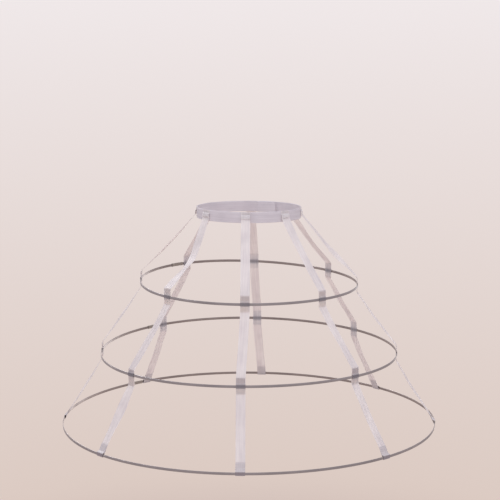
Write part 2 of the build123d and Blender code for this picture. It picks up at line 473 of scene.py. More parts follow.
@dataclass(frozen=True)
class Ring:
    """One hoop: flat strip on edge, hung with a slight lean and bent to a slight saddle."""

    diameter: float
    drop: float
    lean: float = 0.0
    low_angle: float = 0.0
    saddle: float = 0.0
    saddle_angle: float = 0.0
    strip_height: float = 6 * MM
    strip_thickness: float = 1 * MM

    @property
    def radius(self) -> float:
        """Radius of the middle of the strip."""
        return self.diameter / 2

    @property
    def inner(self) -> float:
        """Radius of the inside of the strip."""
        return self.radius - self.strip_thickness / 2

    @property
    def outer(self) -> float:
        """Radius of the outside of the strip."""
        return self.radius + self.strip_thickness / 2

    def level(self, angle: Values) -> Values:
        """Height of the middle of the strip.

        Args:
            angle: Angle in degrees from the back.

        Returns:
            Height from the middle of the waistband.
        """
        lean = self.radius * math.sin(math.radians(self.lean)) * np.cos(np.radians(angle - self.low_angle))
        saddle = self.saddle * np.cos(np.radians(2 * (angle - self.saddle_angle)))
        return saddle - lean - self.drop

    def points(self, angles: Values, reach: Values, heights: Values) -> np.ndarray:
        """Points near the strip.

        Args:
            angles: Angle of each point, or one for all.
            reach: Distance of each point from the axis, or one for all.
            heights: Height of each point from the middle of the strip, or one for all.

        Returns:
            The points.
        """
        levels = np.asarray(heights + self.level(angles))
        return outward(angles) * np.asarray(reach)[..., None] + UP * levels[..., None]

    def covering(self, heights: np.ndarray, fade: float) -> np.ndarray:
        """How far the strip lies behind each height, fading out past its edges over a distance."""
        return 1.0 - ease((np.abs(heights) - self.strip_height / 2) / fade)


RINGS = {
    Hoop.UPPER: Ring(504 * MM, 164.5 * MM, 1.1, 72.0, 2.3 * MM, 44.0),
    Hoop.MIDDLE: Ring(690 * MM, 328.5 * MM, saddle=2.5 * MM, saddle_angle=19.0),
    Hoop.LOWER: Ring(872 * MM, 493.5 * MM, saddle=1.4 * MM, saddle_angle=30.0),
}
CASED = (Hoop.UPPER, Hoop.MIDDLE)
SEAT_GAP = 0.15 * MM
# Distance over which the grey of the strip, partly steel seen through the cloth and partly painted shade,
# fades past its edges.
STRIP_FADE = 1.5 * MM
# How much painted shade a casing takes above and below its hoop, where it also lets less light through.
CASING_DOUBLING_AND_SHADE = {Hoop.UPPER: (0.35, 0.0), Hoop.MIDDLE: (0.9, 0.4)}


# Ribbons


@dataclass(frozen=True)
class RibbonSection:
    """Section across a ribbon: flat, with a thicker rounded selvedge at each side."""

    width: float = 21 * MM
    thickness: float = 0.5 * MM
    selvedge: float = 1.4 * MM
    selvedge_rise: float = 0.08 * MM
    shares: tuple[float, ...] = (0.0, 0.3, 0.6, 0.82)
    edge_height: float = 0.95

    def loop(self) -> tuple[np.ndarray, np.ndarray]:
        """Work out the section's outline.

        Returns:
            Distances across the ribbon and out of its face, once round the section.
        """
        half, rise = self.width / 2, self.thickness / 2
        inner_edge = 1 - self.selvedge / half
        places = [*self.shares, inner_edge, (1 + inner_edge) / 2, 1 - rise / half, 1.0]
        heights = [rise] * (len(self.shares) + 1) + [rise + self.selvedge_rise, rise * self.edge_height, 0.0]
        right = list(zip(places, heights))
        upper = [(-x, y) for x, y in reversed(right)] + right[1:]
        lower = [(x, -y) for x, y in reversed(upper)][1:-1]
        outline = np.array(upper + lower)
        return outline[:, 0] * half, outline[:, 1]


@dataclass
class RibbonPath:
    """Line that the middle of a ribbon follows, and how the ribbon lies at each station."""

    centres: np.ndarray
    across: np.ndarray
    outward: np.ndarray
    bow: np.ndarray
    twist: np.ndarray
    backed: np.ndarray
    strip_behind: np.ndarray

    @staticmethod
    def laid(
        points: np.ndarray,
        angles: Values,
        bow: Values = 0.0,
        backed: Values = 0.0,
        strip_behind: Values = 0.0,
        across: np.ndarray | None = None,
    ) -> "RibbonPath":
        """Lay a ribbon without twist along a line.

        Args:
            points: Points of its middle line.
            angles: Angle that it faces at each point, or one for all.
            bow: Curvature across it.
            backed: How far it lies double, which also sets its painted shade.
            strip_behind: How far the steel shows through it, as grey steel and painted shade.
            across: Direction across it, where that isn't level.

        Returns:
            The path.
        """
        count = len(points)
        facing = np.broadcast_to(angles, count)
        sides = along(facing) if across is None else np.tile(across, (count, 1))
        marks = (np.broadcast_to(mark, count).astype(float) for mark in (bow, 0.0, backed, strip_behind))
        return RibbonPath(points, sides, outward(facing), *marks)

    @staticmethod
    def joined(parts: list["RibbonPath"]) -> "RibbonPath":
        """Join paths end to end, leaving out the repeated stations.

        Args:
            parts: Paths, each of which starts where the one before it ends.

        Returns:
            One path.
        """
        columns = zip(*(vars(part).values() for part in parts))
        pieces = ([values[:-1] for values in column[:-1]] + [column[-1]] for column in columns)
        return RibbonPath(*map(np.concatenate, pieces))

    def changed(self, change: Callable[[np.ndarray], np.ndarray]) -> "RibbonPath":
        """Path whose every column of values has gone through one change."""
        return RibbonPath(*(np.apply_along_axis(change, 0, values) for values in vars(self).values()))

    def at(self, places: np.ndarray) -> "RibbonPath":
        """The same line with stations at the lengths given."""
        runs = self.lengths()
        return self.changed(lambda column: np.interp(places, runs, column))

    def spaced(self, pitch: float) -> "RibbonPath":
        """The same line with stations at an even pitch."""
        length = self.lengths()[-1]
        return self.at(np.linspace(0.0, length, max(2, round(length / pitch) + 1)))

    def finer(self, until: float, pitch: float) -> "RibbonPath":
        """The same line with closer stations on its first stretch, up to a length."""
        runs = self.lengths()
        return self.at(np.concatenate([np.arange(0.0, until, pitch), runs[runs >= until]]))

    def softened(self, reach: float) -> "RibbonPath":
        """Round the corners of an evenly spaced path.

        Args:
            reach: Distance over which a corner is spread.

        Returns:
            The path with its ends kept.
        """
        pitch = self.lengths()[-1] / (len(self.centres) - 1)
        half = max(1, math.ceil(3 * reach / pitch))
        weights = np.exp(-0.5 * (np.arange(-half, half + 1) * pitch / reach) ** 2)
        weights /= weights.sum()

        def spread(column: np.ndarray) -> np.ndarray:
            """Average one column along the path.

            Args:
                column: Values at the stations.

            Returns:
                As many values, with the line carried on as its mirror image past both ends.
            """
            head = 2 * column[0] - column[half:0:-1]
            tail = 2 * column[-1] - column[-2 : -half - 2 : -1]
            return np.convolve(np.concatenate([head, column, tail]), weights, mode="valid")

        return self.changed(spread)

    def lengths(self) -> np.ndarray:
        """Length of the line from its start to each station."""
        steps = np.linalg.norm(np.diff(self.centres, axis=0), axis=1)
        return np.concatenate([[0.0], np.cumsum(steps)])

    def faces(self) -> tuple[np.ndarray, np.ndarray]:
        """Work out how the ribbon faces.

        Returns:
            Unit vectors across the ribbon and out of its face at each station.
        """
        heading = unit(np.gradient(self.centres, axis=0))
        level = unit(self.across - heading * np.sum(self.across * heading, axis=1, keepdims=True))
        face = np.cross(heading, level)
        turn = self.twist[:, None]
        return level * np.cos(turn) + face * np.sin(turn), face * np.cos(turn) - level * np.sin(turn)

    def surface(self, stations: np.ndarray, places: np.ndarray, lift: float) -> np.ndarray:
        """Points on or over the ribbon.

        Args:
            stations: Lengths along the ribbon.
            places: Distances across it, from its middle.
            lift: Height above the middle of its thickness, outwards.

        Returns:
            One point for each pair of length and distance.
        """
        runs = self.lengths()
        across, face = (
            np.apply_along_axis(lambda column: np.interp(stations, runs, column), 0, vectors)
            for vectors in self.faces()
        )
        here = self.at(stations)
        bent = here.outward * (here.bow * places**2 / 2)[:, None]
        return here.centres + across * places[:, None] + face * lift - bent


def ribbon_piece(name: str, path: RibbonPath, section: RibbonSection) -> bpy.types.Object:
    """Skin a ribbon along its path, with its weave map and marks.

    Args:
        name: Name of the piece.
        path: Line that the ribbon follows.
        section: Section across the ribbon.

    Returns:
        A closed mesh object at the origin.
    """
    sideways, rise = section.loop()
    across, face = path.faces()
    bent = path.outward[:, None] * (path.bow[:, None] * sideways**2 / 2)[..., None]
    flat = path.centres[:, None] + across[:, None] * sideways[:, None]
    piece = skinned(name, flat + face[:, None] * rise[:, None] - bent)
    mesh = piece.data
    from_edge = sideways + section.width / 2
    weave = np.stack(np.broadcast_arrays(from_edge, path.lengths()[:, None]), axis=-1)
    corners = np.empty(len(mesh.loops), dtype=np.int32)
    mesh.loops.foreach_get("vertex_index", corners)
    layer = mesh.uv_layers.new(name=WEAVE_UV)
    layer.uv.foreach_set("vector", weave.reshape(-1, 2)[corners].astype(np.float32).ravel())
    for mark, values in ((BACKED, path.backed), (STRIP_BEHIND, path.strip_behind)):
        attribute = mesh.attributes.new(mark, "FLOAT", "POINT")
        attribute.data.foreach_set("value", np.repeat(values, len(sideways)).astype(np.float32))
    return piece


def skinned(name: str, rings: np.ndarray, inner: np.ndarray | None = None) -> bpy.types.Object:
    """Skin a row of closed rings, and close its ends.

    Args:
        name: Name of the piece.
        rings: Points of the outer wall, by ring and by place on the ring.
        inner: Points of the inner wall of a hollow piece, laid out as the outer ones.

    Returns:
        A smooth shaded mesh object at the origin, its faces pointing outwards.
    """
    places = np.arange(rings.shape[0] * rings.shape[1]).reshape(rings.shape[:2])
    following = np.roll(places, -1, axis=1)
    wall = np.stack([places[:-1], following[:-1], following[1:], places[1:]], axis=-1).reshape(-1, 4)
    points = rings.reshape(-1, 3)
    faces = wall.tolist()
    if inner is None:
        faces += [places[0].tolist(), places[-1].tolist()]
    else:
        size = len(points)
        points = np.concatenate([points, inner.reshape(-1, 3)])
        faces += (wall + size).tolist()
        for row in (0, -1):
            rim = [places[row], following[row], following[row] + size, places[row] + size]
            faces += np.stack(rim, axis=-1).tolist()
    mesh = bpy.data.meshes.new(name)
    mesh.from_pydata(points.tolist(), [], faces)
    turned = bmesh.new()
    turned.from_mesh(mesh)
    bmesh.ops.recalc_face_normals(turned, faces=turned.faces)
    turned.to_mesh(mesh)
    turned.free()
    return placed(name, mesh)


def placed(name: str, mesh: bpy.types.Mesh, crease: float = 40.0) -> bpy.types.Object:
    """Put a mesh in the scene at the origin, smooth but for its sharp edges.

    Args:
        name: Name of the piece.
        mesh: Its mesh.
        crease: Angle in degrees past which an edge stays sharp.

    Returns:
        The new object.
    """
    mesh.shade_smooth()
    mesh.set_sharp_from_angle(angle=math.radians(crease))
    piece = bpy.data.objects.new(name, mesh)
    bpy.context.scene.collection.objects.link(piece)
    return piece


def dressed(piece: bpy.types.Object, material: bpy.types.Material) -> bpy.types.Object:
    """Give a piece its material and the body it rides on.

    Args:
        piece: The finished piece.
        material: Its material.

    Returns:
        The same piece.
    """
    piece.data.materials.clear()
    piece.data.materials.append(material)
    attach(piece, BODY)
    LOG.info("%s: %d faces in %s", piece.name, len(piece.data.polygons), material.name)
    return piece


# Geometry Nodes


def start_tree(name: str, inputs: dict[str, str]) -> tuple[bpy.types.NodeTree, bpy.types.NodeOutputs]:
    """Start a geometry tree with named inputs.

    Args:
        name: Name of the tree.
        inputs: Socket type of each named input.

    Returns:
        The tree and what it is given, by name.
    """
    tree = bpy.data.node_groups.new(name, "GeometryNodeTree")
    tree.interface.new_socket("Geometry", in_out="INPUT", socket_type="NodeSocketGeometry")
    for label, kind in inputs.items():
        tree.interface.new_socket(label, in_out="INPUT", socket_type=kind)
    tree.interface.new_socket("Geometry", in_out="OUTPUT", socket_type="NodeSocketGeometry")
    return tree, add_node(tree, "NodeGroupInput").outputs


def end_tree(tree: bpy.types.NodeTree, shape: bpy.types.Node, material: bpy.types.NodeSocket) -> None:
    """End a geometry tree: make its instances real, set the material and hand the result out.

    Args:
        tree: The tree.
        shape: Node that gives the finished shape.
        material: The tree's material input.
    """
    whole = add_node(tree, "GeometryNodeRealizeInstances", {"Geometry": shape})
    finished = add_node(tree, "GeometryNodeSetMaterial", {"Geometry": whole, "Material": material})
    add_node(tree, "NodeGroupOutput", {"Geometry": finished})


def run_nodes(
    name: str, source: bpy.types.Mesh, tree: bpy.types.NodeTree, values: dict[str, object]
) -> bpy.types.Object:
    """Run a geometry tree and keep its result as a plain mesh.

    Args:
        name: Name of the piece.
        source: Mesh that the tree starts from.
        tree: The tree.
        values: A value for each named input.

    Returns:
        A mesh object with no modifier.
    """
    carrier = bpy.data.objects.new(f"{name}_nodes", source)
    bpy.context.scene.collection.objects.link(carrier)
    modifier = carrier.modifiers.new(tree.name, "NODES")
    modifier.node_group = tree
    for item in tree.interface.items_tree:
        if item.in_out == "INPUT" and item.name in values:
            modifier[item.identifier] = values[item.name]
    evaluated = carrier.evaluated_get(bpy.context.evaluated_depsgraph_get())
    mesh = bpy.data.meshes.new_from_object(evaluated)
    mesh.name = name
    bpy.data.objects.remove(carrier)
    bpy.data.meshes.remove(source)
    return placed(name, mesh)


def stitch_tree() -> bpy.types.NodeTree:
    """Build the tree that sews a row of stitches along each line of a mesh.

    Returns:
        A tree that sets one rounded stitch at each pitch and turns it along its row.
    """
    sizes = dict.fromkeys(("Pitch", "Stitch Length", "Thread", "Slant"), "NodeSocketFloat")
    others = {"Seed": "NodeSocketInt", "Material": "NodeSocketMaterial"}
    tree, given = start_tree("stitch_rows", sizes | others)
    rows = add_node(tree, "GeometryNodeMeshToCurve", {"Mesh": given["Geometry"]})
    spots = add_node(
        tree, "GeometryNodeCurveToPoints", {"Curve": rows, "Length": given["Pitch"]}, mode="LENGTH"
    )
    bead = add_node(tree, "GeometryNodeMeshUVSphere", {"Segments": 6, "Rings": 4, "Radius": 0.5})
    lay = add_node(
        tree, "FunctionNodeAlignRotationToVector", {"Vector": spots.outputs["Tangent"]}, axis="X"
    )
    back = add_node(tree, "ShaderNodeMath", {0: given["Slant"], 1: -1.0}, operation="MULTIPLY")
    lean = add_node(
        tree,
        "FunctionNodeRandomValue",
        {2: back, 3: given["Slant"], "Seed": given["Seed"]},
        data_type="FLOAT",
    )
    tilt = add_node(tree, "FunctionNodeAxisAngleToRotation", {"Axis": (0.0, 0.0, 1.0), "Angle": lean})
    turned = add_node(tree, "FunctionNodeRotateRotation", {0: lay, 1: tilt}, rotation_space="LOCAL")
    size = add_node(
        tree, "ShaderNodeCombineXYZ", {0: given["Stitch Length"], 1: given["Thread"], 2: given["Thread"]}
    )
    sewn = add_node(
        tree,
        "GeometryNodeInstanceOnPoints",
        {"Points": spots, "Instance": bead, "Rotation": turned, "Scale": size},
    )
    end_tree(tree, sewn, given["Material"])
    return tree


def hoop_tree() -> bpy.types.NodeTree:
    """Build the tree that bends a flat strip with rounded edges to a hoop.

    Returns:
        A tree that sweeps the strip's upright section along the line of a mesh.
    """
    sizes = dict.fromkeys(("Strip Height", "Strip Thickness", "Edge Radius"), "NodeSocketFloat")
    tree, given = start_tree("bent_strip", sizes | {"Material": "NodeSocketMaterial"})
    line = add_node(tree, "GeometryNodeMeshToCurve", {"Mesh": given["Geometry"]})
    upright = add_node(tree, "GeometryNodeSetCurveNormal", {"Curve": line}, mode="Z_UP")
    plate = add_node(
        tree,
        "GeometryNodeCurvePrimitiveQuadrilateral",
        {"Width": given["Strip Thickness"], "Height": given["Strip Height"]},
        mode="RECTANGLE",
    )
    rounded = add_node(
        tree,
        "GeometryNodeFilletCurve",
        {"Curve": plate, "Radius": given["Edge Radius"], "Count": 3, "Limit Radius": True},
        mode="POLY",
    )
    strip = add_node(
        tree, "GeometryNodeCurveToMesh", {"Curve": upright, "Profile Curve": rounded, "Fill Caps": True}
    )
    end_tree(tree, strip, given["Material"])
    return tree


# Sub-assemblies


@dataclass
class Stitching:
    """Rows of machine stitches, gathered by the pieces that they sew."""

    pitch: float = 2.6 * MM
    stitch: float = 2.1 * MM
    thread: float = 0.5 * MM
    slant: float = 6.0
    cross_points: int = 9
    rows: dict[str, list[np.ndarray]] = field(default_factory=dict)

    def add(self, group: str, row: np.ndarray) -> None:
        """Add one row of stitches to a group, by the points of its line."""
        self.rows.setdefault(group, []).append(row)

    def cross(
        self, group: str, path: RibbonPath, depths: Iterable[float], width: float, lift: float
    ) -> None:
        """Add straight rows across a ribbon.

        Args:
            group: Group that takes the rows.
            path: Line of the ribbon.
            depths: Lengths along the ribbon at which the rows run.
            width: Length of each row.
            lift: Height of the rows above the middle of the ribbon's thickness.
        """
        across = np.linspace(-0.5, 0.5, self.cross_points) * width
        for depth in depths:
            self.add(group, path.surface(np.full(len(across), depth), across, lift))

    def build(self, material: bpy.types.Material) -> list[bpy.types.Object]:
        """Sew every row.

        Args:
            material: The thread's material.

        Returns:
            One piece for each group of rows.
        """
        tree = stitch_tree()
        pieces = []
        for seed, (group, rows) in enumerate(self.rows.items()):
            ends = np.cumsum([len(row) for row in rows])
            starts = np.delete(np.arange(ends[-1]), ends - 1)
            lines = bpy.data.meshes.new(f"{group}_lines")
            edges = np.stack([starts, starts + 1], axis=1)
            lines.from_pydata(np.concatenate(rows).tolist(), edges.tolist(), [])
            values = {
                "Pitch": self.pitch,
                "Stitch Length": self.stitch,
                "Thread": self.thread,
                "Slant": math.radians(self.slant),
                "Seed": seed,
                "Material": material,
            }
            pieces.append(run_nodes(f"stitches_{group}", lines, tree, values))
        return pieces


@dataclass(frozen=True)
class Waistband:
    """Oval band of webbing whose ends lap at the front over a hook and bar."""

    inside: Oval = Oval(119 * MM, 86 * MM)
    section: RibbonSection = RibbonSection(25 * MM, 1.6 * MM, 2.2 * MM, -0.12 * MM, (0.0, 0.25, 0.5, 0.7))
    lap_length: float = 44 * MM
    lap_end_angle: float = 170.7
    lap_lead_angle: float = 0.4
    lap_step_angle: float = 3.8
    lap_gap: float = 3.4 * MM
    pitch: float = 2.5 * MM
    seam_inset: float = 2.4 * MM
    seam_pitch: float = 3 * MM
    seam_ends: tuple[float, float] = (3 * MM, 2 * MM)
    end_inset: float = 3 * MM

    @property
    def outside(self) -> Oval:
        """Oval of the band's outer face."""
        return self.inside.grown(self.section.thickness)

    @property
    def middle(self) -> Oval:
        """Oval of the middle of the band's thickness."""
        return self.inside.grown(self.section.thickness / 2)

    def path(self) -> RibbonPath:
        """Work out the line of the band, from its under end to its outer end.

        Returns:
            Stations round the oval, stepped in where the band runs under its own end.
        """
        lap_angle = math.degrees(self.lap_length / self.inside.half_width)
        end = self.lap_end_angle + 360.0
        angles = np.append(np.arange(self.lap_end_angle - lap_angle, end, 1.0), end)
        past_lap = angles - self.lap_end_angle - self.lap_lead_angle
        inset = (1.0 - ease(past_lap / self.lap_step_angle)) * (self.lap_gap + self.section.thickness)
        facing = self.middle.facing(angles)
        centres = self.middle.point(angles) - outward(facing) * inset[:, None]
        return RibbonPath.laid(centres, facing, across=UP)

    def build(self, sewing: Stitching, material: bpy.types.Material) -> bpy.types.Object:
        """Build and dress the band, and note its stitch rows.

        Args:
            sewing: Takes the rows along the band's edges.
            material: The webbing's material.

        Returns:
            The band.
        """
        path = self.path().spaced(self.pitch)
        height, lift = self.section.width, self.section.thickness / 2
        band = dressed(ribbon_piece("waistband_webbing", path, self.section), material)
        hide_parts("waistband")
        length = float(path.lengths()[-1])
        first, last = self.seam_ends
        run = np.arange(first, length - last, self.seam_pitch)
        edge = height / 2 - self.seam_inset
        for place in (-edge, edge):
            sewing.add("waistband", path.surface(run, np.full(len(run), place), lift))
        sewing.cross("waistband", path, (self.end_inset, length - self.end_inset), 2 * edge, lift)
        return band


@dataclass(frozen=True)
class Curl:
    """Soft twist in degrees that a ribbon keeps at one place, measured from the top of its tab."""

    at: float
    reach: float
    twist: float


@dataclass(frozen=True)
class TapeLie:
    """Where one tape runs, at the waistband and at each hoop, and how it hangs."""

    waist: float
    upper: float
    middle: float
    lower: float
    sag: float = 4 * MM
    sag_peak: float = 0.5
    sag_bend: float = 4.0
    slip: float = 0.0
    unrest: float = 1.0
    curls: tuple[Curl, ...] = ()

    def angle(self, hoop: Hoop) -> float:
        """Angle at which the tape crosses a hoop."""
        return {Hoop.UPPER: self.upper, Hoop.MIDDLE: self.middle, Hoop.LOWER: self.lower}[hoop]


@dataclass(frozen=True)
class RibbonTape:
    """One ribbon tape, from its tab on the waistband to its folded end round the lower hoop."""

    tape: Tape
    lie: TapeLie
    band: Waistband
    section: RibbonSection = RibbonSection()
    tab_height: float = 15 * MM
    tab_box: tuple[float, float] = (6.0 * MM, 15.5 * MM)
    tab_puff: float = 2.4 * MM
    tab_edges: tuple[float, float] = (3.6 * MM, 1.8 * MM)
    tab_pitch: float = 0.5 * MM
    tack_starts: tuple[float, float] = (8.2 * MM, 11.6 * MM)
    tack_rows: int = 5
    tack_pitch: float = 0.55 * MM
    row_inset: float = 1.3 * MM
    casing_rise: float = 19 * MM
    casing_drop: float = 17 * MM
    span_sag: float = 2 * MM
    ripple: float = 0.5 * MM
    ripple_half_waves: int = 3
    unrest_bow: float = 5.0
    unrest_twist: float = 2.0
    unrest_fade: float = 20 * MM
    unrest_lengths: tuple[float, float, float] = (13 * MM, 21 * MM, 34 * MM)
    band_bow_share: float = 0.15
    hoop_bow_share: float = 0.2
    hem_turn_up: float = 21 * MM
    hem_gap: float = 0.4 * MM
    hem_lean: float = 27.0
    # How far the hem lies double, which also sets its painted shade, and how far the strip shows through it
    # as grey steel and painted shade.
    hem_backed: float = 0.3
    hem_shows: float = 0.25
    hem_rows: tuple[float, float] = (2 * MM, 13 * MM)
    fold_slope: float = 4.5 * MM
    fold_gap: float = 0.15 * MM
    pitch: float = 2 * MM
    corner: float = 2.2 * MM
    tab_points: int = 41
    hanging_points: int = 121
    upright_points: int = 61
    fold_points: tuple[int, int, int] = (17, 13, 25)

    @property
    def name(self) -> str:
        """Name of the tape's node."""
        return f"tape_{self.tape.value}"

    @property
    def facing(self) -> float:
        """Angle that the band faces under the tape."""
        return self.band.outside.facing(self.lie.waist)

    def reach(self, hoop: Hoop) -> tuple[float, float]:
        """Work out how far the tape lies flat behind a hoop.

        Args:
            hoop: The hoop.

        Returns:
            Distances above and below the middle of its strip.
        """
        if hoop is Hoop.LOWER:
            return self.hem_turn_up, RINGS[hoop].strip_height / 2 + self.hem_gap
        slip = self.lie.slip if hoop is Hoop.MIDDLE else 0.0
        return self.casing_rise - slip, self.casing_drop + slip

    def seat(self, hoop: Hoop, heights: Values) -> Values:
        """Work out how far from the axis the middle of the tape lies behind a hoop.

        Args:
            hoop: The hoop.
            heights: Heights from the middle of its strip.

        Returns:
            A distance for each height. It shrinks upwards at the lower hoop, where the tape leans.
        """
        lean = math.tan(math.radians(self.hem_lean)) if hoop is Hoop.LOWER else 0.0
        foot = RINGS[hoop].inner - SEAT_GAP - self.section.thickness / 2
        return foot - lean * (heights + self.reach(hoop)[1])

    def behind(self, hoop: Hoop, heights: Values) -> np.ndarray:
        """Points of the tape's middle line behind a hoop, at heights from the middle of its strip."""
        return RINGS[hoop].points(self.lie.angle(hoop), self.seat(hoop, heights), heights)

    def tab(self) -> RibbonPath:
        """Lay the stretch that is sewn to the band.

        Returns:
            The path down the band's face, before it is puffed.
        """
        depths = np.linspace(0.0, self.tab_height, self.tab_points)
        foot = self.band.outside.grown(self.section.thickness / 2).point(self.lie.waist)
        points = foot + UP * (self.band.section.width / 2 - depths)[:, None]
        return RibbonPath.laid(points, self.facing, self.band.outside.bow(self.lie.waist))

    def hanging(
        self,
        start: np.ndarray,
        end: np.ndarray,
        sag: float,
        phase: float,
        peak: float = 0.5,
        bend: float = 4.0,
    ) -> np.ndarray:
        """Points of a run that hangs between two places.

        Args:
            start: Upper end.
            end: Lower end.
            sag: Depth of the run below its chord.
            phase: Turn of the small ripple along the run.
            peak: Share of the run at which it hangs deepest.
            bend: How sharply it bends there.

        Returns:
            Points along the run.
        """
        share = np.linspace(0.0, 1.0, self.hanging_points)
        chord = end - start
        level = chord * (1.0 - UP)
        droop = unit(unit(level) * chord[2] - UP * np.linalg.norm(level))
        tent = -np.logaddexp(-bend * share / peak, -bend * (1 - share) / (1 - peak)) / bend
        waves = np.sin(self.ripple_half_waves * np.pi * share + phase)
        ripple = self.ripple * waves * np.sin(np.pi * share) ** 2
        depth = sag * tent / (1 - math.log(2.0) / bend) + ripple
        return start + chord * share[:, None] + droop * depth[:, None]

    def first_run(self, start: np.ndarray) -> RibbonPath:
        """Lay the run from the band to the upper casing, turning from the band's face to the hoop's.

        Args:
            start: Foot of the tab.

        Returns:
            The path of the run.
        """
        end_angle = self.lie.angle(Hoop.UPPER)
        end = self.behind(Hoop.UPPER, self.reach(Hoop.UPPER)[0])
        points = self.hanging(start, end, self.lie.sag, end_angle, self.lie.sag_peak, self.lie.sag_bend)
        share = np.linspace(0.0, 1.0, len(points))
        turn = (end_angle - self.facing + 180.0) % 360.0 - 180.0
        leaving = 1 - ease(share / self.band_bow_share)
        arriving = 1 - ease((1 - share) / self.hoop_bow_share)
        bow = self.band.outside.bow(self.lie.waist) * leaving + arriving / RINGS[Hoop.UPPER].inner
        return RibbonPath.laid(points, self.facing + turn * share, bow)

    def upright(self, hoop: Hoop) -> RibbonPath:
        """Lay the straight stretch behind a hoop.

        Args:
            hoop: The hoop.

        Returns:
            The path from above the hoop to below it.
        """
        ring = RINGS[hoop]
        rise, drop = self.reach(hoop)
        heights = np.linspace(rise, -drop, self.upright_points)
        # At the hem the doubled cloth takes painted shade; behind each hoop the strip shows through as grey
        # steel and painted shade.
        backed, shows = (self.hem_backed, self.hem_shows) if hoop is Hoop.LOWER else (0.0, 1.0)
        dark = shows * ring.covering(heights, STRIP_FADE)
        return RibbonPath.laid(self.behind(hoop, heights), self.lie.angle(hoop), 1 / ring.inner, backed, dark)

    def span(self, upper: Hoop, lower: Hoop) -> RibbonPath:
        """Lay the span between two hoops.

        Args:
            upper: Hoop that it leaves.
            lower: Hoop that it comes to.

        Returns:
            The path from below the one to above the other.
        """
        start = self.behind(upper, -self.reach(upper)[1])
        end = self.behind(lower, self.reach(lower)[0])
        start_angle, end_angle = self.lie.angle(upper), self.lie.angle(lower)
        points = self.hanging(start, end, self.span_sag, 2 * start_angle)
        share = np.linspace(0.0, 1.0, len(points))
        leaving, arriving = (1 - ease(s / self.hoop_bow_share) for s in (share, 1 - share))
        bow = leaving / RINGS[upper].inner + arriving / RINGS[lower].inner
        return RibbonPath.laid(points, start_angle + (end_angle - start_angle) * share, bow)

    def fold(self) -> RibbonPath:
        """Lay the folded end.

        Returns:
            The path round under the lower hoop, up its outside and then flat on the leaning tape.
        """
        ring = RINGS[Hoop.LOWER]
        low, shoulder = -self.reach(Hoop.LOWER)[1], ring.strip_height / 2
        near, far = self.seat(Hoop.LOWER, low), ring.outer + SEAT_GAP + self.section.thickness / 2
        bend = (far - near) / 2
        turn_points, rise_points, flat_points = self.fold_points
        turn = np.linspace(0.0, np.pi, turn_points)
        rising = np.linspace(low, shoulder, rise_points)[1:]
        rest = np.linspace(shoulder, self.hem_turn_up, flat_points)[1:]
        layer = (self.section.thickness + self.fold_gap) / math.cos(math.radians(self.hem_lean))
        flat = self.seat(Hoop.LOWER, rest) + layer
        sloping = far + (flat - far) * ease((rest - shoulder) / self.fold_slope)
        reach = np.concatenate([near + bend - bend * np.cos(turn), np.full(len(rising), far), sloping])
        heights = np.concatenate([low - bend * np.sin(turn), rising, rest])
        angle = self.lie.angle(Hoop.LOWER)
        points = ring.points(angle, reach, heights)
        # The fold lies fully double and so takes painted shade, and over the strip it greys as steel seen
        # through and painted shade.
        return RibbonPath.laid(points, angle, 1 / ring.outer, 1.0, ring.covering(heights, STRIP_FADE))

    def puffed(self, path: RibbonPath) -> RibbonPath:
        """Raise the sewn box of the tab, where the end of the tape is folded under.

        Args:
            path: Softened line of the tape.

        Returns:
            The same line with closer stations at the tab, lifted off the band there.
        """
        top, bottom = self.tab_box
        rise, fall = self.tab_edges
        path = path.finer(bottom + 2 * fall, self.tab_pitch)
        runs = path.lengths()
        box = ease((runs - top) / rise) * ease((bottom + fall - runs) / fall)
        path.centres += outward(self.facing) * (self.tab_puff * box)[:, None]
        return path

    def bent(self, path: RibbonPath) -> RibbonPath:
        """Give a path its curls, and a little unrest where it hangs free.

        Args:
            path: Line of the tape down to the hem.

        Returns:
            The same line, bent and turned.
        """
        runs = path.lengths()
        rng = np.random.default_rng(list(Tape).index(self.tape))
        free = (1 - path.backed) * ease((runs - self.tab_height) / self.unrest_fade)
        lengths = np.array(self.unrest_lengths)[:, None]
        phases = rng.uniform(0.0, 2 * np.pi, lengths.shape)
        waves = np.sin(runs / lengths + phases) * free * self.lie.unrest
        path.bow += self.unrest_bow * (waves[0] + waves[1])
        path.twist += math.radians(self.unrest_twist) * (waves[1] + waves[2])
        for curl in self.lie.curls:
            path.twist += math.radians(curl.twist) * np.exp(-(((runs - curl.at) / curl.reach) ** 2))
        return path

    def path(self) -> RibbonPath:
        """Work out the whole line of the tape.

        Returns:
            Stations from the top of the tab to the end that is turned up at the hem.
        """
        tab = self.tab()
        hung = RibbonPath.joined(
            [
                tab,
                self.first_run(tab.centres[-1]),
                self.upright(Hoop.UPPER),
                self.span(Hoop.UPPER, Hoop.MIDDLE),
                self.upright(Hoop.MIDDLE),
                self.span(Hoop.MIDDLE, Hoop.LOWER),
                self.upright(Hoop.LOWER),
            ]
        )
        soft = self.puffed(hung.spaced(self.pitch).softened(self.corner))
        return RibbonPath.joined([self.bent(soft), self.fold()])

    def build(self, sewing: Stitching, material: bpy.types.Material) -> bpy.types.Object:
        """Build and dress the tape, and note its stitch rows.

        Args:
            sewing: Takes the rows at the waist and at the hem.
            material: The ribbon's material.

        Returns:
            The tape.
        """
        path = self.path()
        width, lift = self.section.width, self.section.thickness / 2
        tape = dressed(ribbon_piece(f"ribbon_{self.name}", path, self.section), material)
        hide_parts(self.name)
        length = float(path.lengths()[-1])
        row = width - 2 * self.row_inset
        tacks = np.add.outer(self.tack_starts, self.tack_pitch * np.arange(self.tack_rows)).ravel()
        sewing.cross("waist", path, tacks, row, lift)
        sewing.cross("hem", path, length - np.array(self.hem_rows), row, -lift)
        return tape


